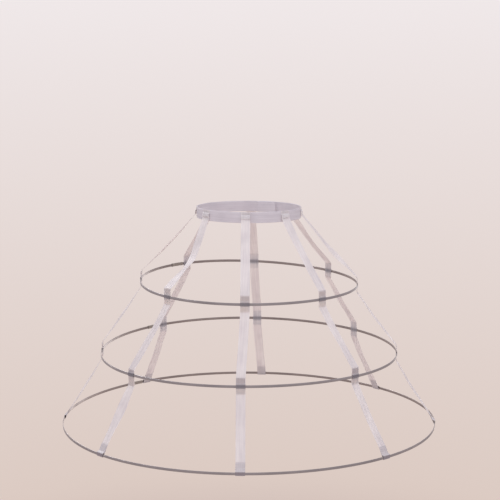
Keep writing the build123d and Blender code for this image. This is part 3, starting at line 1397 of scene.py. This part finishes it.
@dataclass(frozen=True)
class Casing:
    """Ribbon patch sewn over a tape at a hoop, with the strip running through behind it."""

    tape: RibbonTape
    hoop: Hoop
    section: RibbonSection = RibbonSection(width=19.6 * MM, thickness=0.5 * MM)
    slope: float = 3.5 * MM
    row_inset: float = 1.4 * MM
    row_gap: float = 0.5 * MM
    pitch: float = 0.8 * MM

    @property
    def name(self) -> str:
        """Name of the casing's node."""
        return f"casing_{self.hoop.value}_{self.tape.tape.value}"

    def path(self, tape_path: RibbonPath) -> RibbonPath:
        """Work out the casing's line over the tape and the strip.

        Args:
            tape_path: Line of the tape that it is sewn to.

        Returns:
            Stations from the casing's top edge to its bottom edge.
        """
        ring = RINGS[self.hoop]
        angle = self.tape.lie.angle(self.hoop)
        rise, drop = self.tape.reach(self.hoop)
        heights = np.linspace(rise, -drop, round((rise + drop) / self.pitch) + 1)
        depths = ring.level(angle) - tape_path.centres[:, 2]
        near = np.abs(depths) < 2 * drop
        carried = np.interp(-heights, depths[near], tape_path.centres[near] @ outward(angle))
        on_tape = carried + (self.tape.section.thickness + self.section.thickness) / 2
        on_strip = ring.outer + SEAT_GAP + self.section.thickness / 2
        reach = on_tape + (on_strip - on_tape) * ring.covering(heights, self.slope)
        # The casing takes painted shade and lets less light through where it lies over the tape, more above
        # the hoop than below, and over the strip it greys as steel seen through and painted shade.
        backed = np.where(heights > 0.0, *CASING_DOUBLING_AND_SHADE[self.hoop])
        dark = ring.covering(heights, STRIP_FADE)
        return RibbonPath.laid(ring.points(angle, reach, heights), angle, 1 / ring.outer, backed, dark)

    def build(
        self, tape_path: RibbonPath, sewing: Stitching, material: bpy.types.Material
    ) -> bpy.types.Object:
        """Build and dress the casing, and note its stitch rows.

        Args:
            tape_path: Line of the tape that it is sewn to.
            sewing: Takes the rows above and below the strip.
            material: The ribbon's material.

        Returns:
            The casing.
        """
        path = self.path(tape_path)
        width, lift = self.section.width, self.section.thickness / 2
        casing = dressed(ribbon_piece(f"ribbon_{self.name}", path, self.section), material)
        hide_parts(self.name)
        length = float(path.lengths()[-1])
        rise, drop = self.tape.reach(self.hoop)
        middle = length * rise / (rise + drop)
        clear = RINGS[self.hoop].strip_height / 2 + self.slope + self.row_gap
        rows = (self.row_inset, middle - clear, middle + clear, length - self.row_inset)
        sewing.cross("casings", path, rows, width - 2 * self.row_inset, lift)
        return casing


@dataclass(frozen=True)
class SteelHoop:
    """One hoop of flat strip, and the sleeve over its butted ends."""

    hoop: Hoop
    beside: TapeLie
    tape_width: float = 21 * MM
    edge_radius: float = 0.3 * MM
    end_gap: float = 1 * MM
    segment: float = 5 * MM
    sleeve_length: float = 33 * MM
    sleeve_gap: float = 4 * MM
    sleeve_hole: float = 0.15 * MM
    sleeve_wall: float = 0.7 * MM
    sleeve_grid: tuple[int, int] = (45, 40)
    squareness: float = 0.4
    mouth_flare: float = 0.25 * MM
    mouth_share: float = 0.03
    nip_depth: float = 0.2 * MM
    nip_share: float = 0.06
    nips: tuple[float, float] = (0.27, 0.73)

    @property
    def ring(self) -> Ring:
        """Sizes of the hoop."""
        return RINGS[self.hoop]

    @property
    def sleeve_start(self) -> float:
        """Angle at which the sleeve begins, just past its tape."""
        offset = self.tape_width / 2 + self.sleeve_gap
        return self.beside.angle(self.hoop) + math.degrees(offset / self.ring.radius)

    @property
    def sleeve_angle(self) -> float:
        """Angle that the sleeve takes up."""
        return math.degrees(self.sleeve_length / self.ring.radius)

    def build(self, tree: bpy.types.NodeTree, steel: bpy.types.Material) -> bpy.types.Object:
        """Bend and dress the strip.

        Args:
            tree: The tree that bends a strip.
            steel: Its material.

        Returns:
            The hoop.
        """
        ring = self.ring
        half_gap = math.degrees(self.end_gap / ring.radius) / 2
        ends = self.sleeve_start + self.sleeve_angle / 2
        count = round(2 * math.pi * ring.radius / self.segment)
        angles = np.linspace(ends + half_gap, ends + 360.0 - half_gap, count + 1)
        name = f"hoop_{self.hoop.value}"
        line = bpy.data.meshes.new(f"{name}_line")
        points = ring.points(angles, ring.radius, 0.0)
        line.from_pydata(points.tolist(), [(at, at + 1) for at in range(count)], [])
        values = {
            "Strip Height": ring.strip_height,
            "Strip Thickness": ring.strip_thickness,
            "Edge Radius": self.edge_radius,
            "Material": steel,
        }
        strip = run_nodes(f"strip_{name}", line, tree, values)
        inner = [float(point.co.xy.length < ring.radius) for point in strip.data.vertices]
        strip.data.attributes.new(INNER_FACE, "FLOAT", "POINT").data.foreach_set("value", inner)
        dressed(strip, steel)
        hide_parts(name)
        return strip

    def sleeve_rings(self, thick: float, swell: np.ndarray) -> np.ndarray:
        """Work out one wall of the sleeve.

        Args:
            thick: Distance of the wall from the strip.
            swell: How much farther out it lies at each ring.

        Returns:
            Points by ring and by place on the ring.
        """
        along_count, round_count = self.sleeve_grid
        angles = self.sleeve_start + self.sleeve_angle * np.linspace(0.0, 1.0, along_count)
        turn = np.linspace(0.0, 2 * np.pi, round_count, endpoint=False)
        sides = (np.cos(turn), np.sin(turn))
        level, upright = (np.sign(side) * np.abs(side) ** self.squareness for side in sides)
        out = (thick + swell)[:, None]
        reach = self.ring.radius + level * (self.ring.strip_thickness / 2 + out)
        return self.ring.points(angles[:, None], reach, upright * (self.ring.strip_height / 2 + out))

    def sleeve(self, nylon: bpy.types.Material) -> bpy.types.Object:
        """Build and dress the sleeve, flared at its mouths and nipped once on each strip end.

        Args:
            nylon: Its material.

        Returns:
            The sleeve.
        """
        share = np.linspace(0.0, 1.0, self.sleeve_grid[0])
        mouth = self.mouth_flare * np.exp(-np.minimum(share, 1 - share) / self.mouth_share)
        nip = self.nip_depth * sum(np.exp(-(((share - at) / self.nip_share) ** 2)) for at in self.nips)
        name = f"joiner_{self.hoop.value}"
        outer = self.sleeve_rings(self.sleeve_hole + self.sleeve_wall, mouth - nip)
        piece = skinned(f"sleeve_{name}", outer, self.sleeve_rings(self.sleeve_hole, mouth))
        dressed(piece, nylon)
        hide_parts(name)
        return piece


@dataclass(frozen=True)
class Clasp:
    """Hook and bar between the lapped ends, pressed from plated sheet."""

    nodes: tuple[str, ...] = ("waist_hook", "waist_bar")

    def dress(self, nickel: bpy.types.Material) -> None:
        """Give the hook and the bar their plated finish.

        Args:
            nickel: Their material.
        """
        for name in self.nodes:
            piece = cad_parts[name]
            LOG.info("%s in %s", name, nickel.name)
            piece.data.materials.clear()
            piece.data.materials.append(nickel)


@dataclass(frozen=True)
class Studio:
    """Pale floor, soft light and the camera."""

    floor_level: float = -1.02
    floor_radius: float = 150.0
    floor_sides: int = 96
    floor_near: str = "#d7c3b8"
    floor_far: str = "#f3edef"
    floor_half_way: float = 6.0
    shadow_fade: tuple[float, float] = (0.6, 1.3)
    fill_colour: str = "#f1f0f5"
    fill: float = 0.8
    aim: tuple[float, float, float] = (0.0, 0.0, -0.3)
    lens: float = 126.2
    sensor: float = 36.0
    view_end: float = 400.0
    camera_place: tuple[float, float, float] = (0.212, -3.994, 0.629)
    camera_pitch: float = 79.81
    camera_heading: float = 3.0

    def seen(self, tree: bpy.types.NodeTree) -> bpy.types.Node:
        """Mark the rays that show the background.

        Args:
            tree: Tree that takes the nodes.

        Returns:
            Node that gives 1 for such rays and 0 for the rest.
        """
        rays = add_node(tree, "ShaderNodeLightPath").outputs
        first = add_node(
            tree, "ShaderNodeMath", {0: rays["Is Camera Ray"], 1: rays["Is Glossy Ray"]}, operation="MAXIMUM"
        )
        return add_node(
            tree, "ShaderNodeMath", {0: first, 1: rays["Is Transmission Ray"]}, operation="MAXIMUM"
        )

    def floor(self) -> bpy.types.Object:
        """Lay the floor, which takes the object's shadow near it and fades to an even, paler tone.

        Returns:
            The floor.
        """
        material, tree = new_material("studio_floor_matt")
        place = add_node(tree, "ShaderNodeTexCoord").outputs["Object"]
        reach = add_node(tree, "ShaderNodeVectorMath", {0: place}, operation="LENGTH")
        beyond = add_node(tree, "ShaderNodeMath", {0: reach, 1: self.floor_half_way}, operation="ADD")
        share = add_node(tree, "ShaderNodeMath", {0: reach, 1: beyond}, operation="DIVIDE")
        colour = add_node(
            tree,
            "ShaderNodeMix",
            {0: share, 6: linear(self.floor_near), 7: linear(self.floor_far)},
            data_type="RGBA",
        )
        fade = dict(zip(("From Min", "From Max"), self.shadow_fade))
        far = add_node(
            tree, "ShaderNodeMapRange", {"Value": reach, **fade}, interpolation_type="SMOOTHSTEP"
        )
        even = add_node(tree, "ShaderNodeMath", {0: far, 1: self.seen(tree)}, operation="MULTIPLY")
        matt = add_node(tree, "ShaderNodeBsdfDiffuse", {"Color": colour})
        glow = add_node(tree, "ShaderNodeEmission", {"Color": colour, "Strength": 1.0})
        surface = add_node(tree, "ShaderNodeMixShader", {0: even, 1: matt, 2: glow})
        add_node(tree, "ShaderNodeOutputMaterial", {"Surface": surface})
        mesh = bpy.data.meshes.new("studio_floor")
        rim = outward(np.linspace(0.0, 360.0, self.floor_sides, endpoint=False)) * self.floor_radius
        mesh.from_pydata(rim.tolist(), [], [list(range(len(rim)))])
        mesh.materials.append(material)
        floor = bpy.data.objects.new("studio_floor", mesh)
        floor.location.z = self.floor_level
        bpy.context.scene.collection.objects.link(floor)
        return floor

    def world(self) -> None:
        """Light the scene evenly, and show the floor's far tone behind it."""
        world = bpy.data.worlds.new("studio_world")
        world.use_nodes = True
        tree = world.node_tree
        tree.nodes.clear()
        fill, shown = (
            add_node(tree, "ShaderNodeBackground", {"Color": linear(colour), "Strength": strength})
            for colour, strength in ((self.fill_colour, self.fill), (self.floor_far, 1.0))
        )
        both = add_node(tree, "ShaderNodeMixShader", {0: self.seen(tree), 1: fill, 2: shown})
        add_node(tree, "ShaderNodeOutputWorld", {"Surface": both})
        bpy.context.scene.world = world

    def lamp(
        self,
        name: str,
        place: tuple[float, float, float],
        size: tuple[float, float],
        power: float,
        mirrored: bool = True,
        lights: bool = True,
    ) -> None:
        """Hang one soft lamp and turn it to the middle of the object.

        Args:
            name: Name of the lamp.
            place: Where it hangs.
            size: Width and height of its panel.
            power: Its power in watts.
            mirrored: Whether shiny surfaces mirror its panel.
            lights: Whether it lights the scene, or is only mirrored.
        """
        light = bpy.data.lights.new(name, "AREA")
        light.shape = "RECTANGLE"
        light.size, light.size_y = size
        light.energy = power
        lamp = bpy.data.objects.new(name, light)
        lamp.location = place
        lamp.visible_camera = False
        lamp.visible_glossy = mirrored
        lamp.visible_diffuse = lamp.visible_transmission = lights
        lamp.rotation_euler = (Vector(self.aim) - Vector(place)).to_track_quat("-Z", "Y").to_euler()
        bpy.context.scene.collection.objects.link(lamp)

    def camera(self) -> None:
        """Set the camera where the photograph was taken from."""
        lens = bpy.data.cameras.new("view")
        lens.lens = self.lens
        lens.sensor_width = self.sensor
        lens.clip_end = self.view_end
        camera = bpy.data.objects.new("view", lens)
        camera.location = self.camera_place
        camera.rotation_euler = (math.radians(self.camera_pitch), 0.0, math.radians(self.camera_heading))
        bpy.context.scene.collection.objects.link(camera)
        bpy.context.scene.camera = camera

    def build(self) -> None:
        """Set up the whole studio."""
        self.floor()
        self.world()
        self.lamp("key_softbox", (0.2, -1.9, 2.5), (2.0, 2.0), 8.0, mirrored=False)
        self.lamp("front_softbox", (0.2, -3.2, -0.75), (6.0, 0.45), 18.0, mirrored=False)
        self.lamp("back_card", (0.4, 1.3, -0.6), (0.8, 0.75), 3.5, lights=False)
        self.lamp("left_card", (-1.49, 0.95, 1.28), (1.0, 1.0), 40.0, lights=False)
        self.lamp("top_softbox", (0.3, 0.4, 3.0), (2.4, 2.4), 26.0, mirrored=False)
        self.camera()
        bpy.context.scene.view_settings.view_transform = "Standard"


LIES = {
    Tape.BACK_CENTRE: TapeLie(-1.3, 1.1, 0.1, 0.6),
    Tape.BACK_RIGHT: TapeLie(45.2, 43.5, 45.9, 46.6),
    Tape.RIGHT: TapeLie(
        90.0,
        90.0,
        90.0,
        90.0,
        unrest=0.0,
        curls=(
            Curl(80 * MM, 70 * MM, 6.0),
            Curl(146 * MM, 34 * MM, 20.0),
            Curl(323 * MM, 60 * MM, 6.0),
            Curl(514 * MM, 60 * MM, 6.0),
        ),
    ),
    Tape.FRONT_RIGHT: TapeLie(131.5, 133.2, 134.2, 135.6),
    Tape.FRONT_CENTRE: TapeLie(180.0, 180.0, 179.5, 178.7),
    Tape.FRONT_LEFT: TapeLie(228.5, 219.8, 221.4, 219.9),
    Tape.LEFT: TapeLie(
        270.0,
        270.0,
        270.0,
        270.0,
        unrest=0.0,
        curls=(
            Curl(112 * MM, 75 * MM, 14.0),
            Curl(323 * MM, 60 * MM, -10.0),
            Curl(514 * MM, 60 * MM, -10.0),
        ),
    ),
    Tape.BACK_LEFT: TapeLie(
        308.5,
        316.7,
        313.8,
        314.4,
        sag=26.5 * MM,
        sag_peak=0.49,
        sag_bend=6.0,
        slip=8 * MM,
        curls=(
            Curl(70 * MM, 30 * MM, -8.0),
            Curl(158 * MM, 24 * MM, 17.0),
            Curl(526 * MM, 40 * MM, -26.0),
        ),
    ),
}


def main() -> None:
    """Build the sub-assemblies in order, from the waist down, and then the studio."""
    logging.basicConfig(level=logging.INFO, format="%(name)s: %(message)s")
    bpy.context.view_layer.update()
    sewing = Stitching()
    band = Waistband()
    band.build(sewing, BAND_WEBBING.build())
    Clasp().dress(CLASP_NICKEL.build())
    tape_ribbon, casing_ribbon = TAPE_RIBBON.build(), CASING_RIBBON.build()
    for tape, lie in LIES.items():
        ribbon = RibbonTape(tape, lie, band)
        ribbon.build(sewing, tape_ribbon)
        for hoop in CASED:
            Casing(ribbon, hoop).build(ribbon.path(), sewing, casing_ribbon)
    bend, steel, nylon = hoop_tree(), HOOP_STEEL.build(), SLEEVE_NYLON.build()
    for hoop in Hoop:
        ring = SteelHoop(hoop, LIES[Tape.FRONT_LEFT])
        ring.build(bend, steel)
        ring.sleeve(nylon)
    thread = SEWING_THREAD.build()
    for piece in sewing.build(thread):
        dressed(piece, thread)
    Studio().build()


if __name__ == "__main__":
    main()
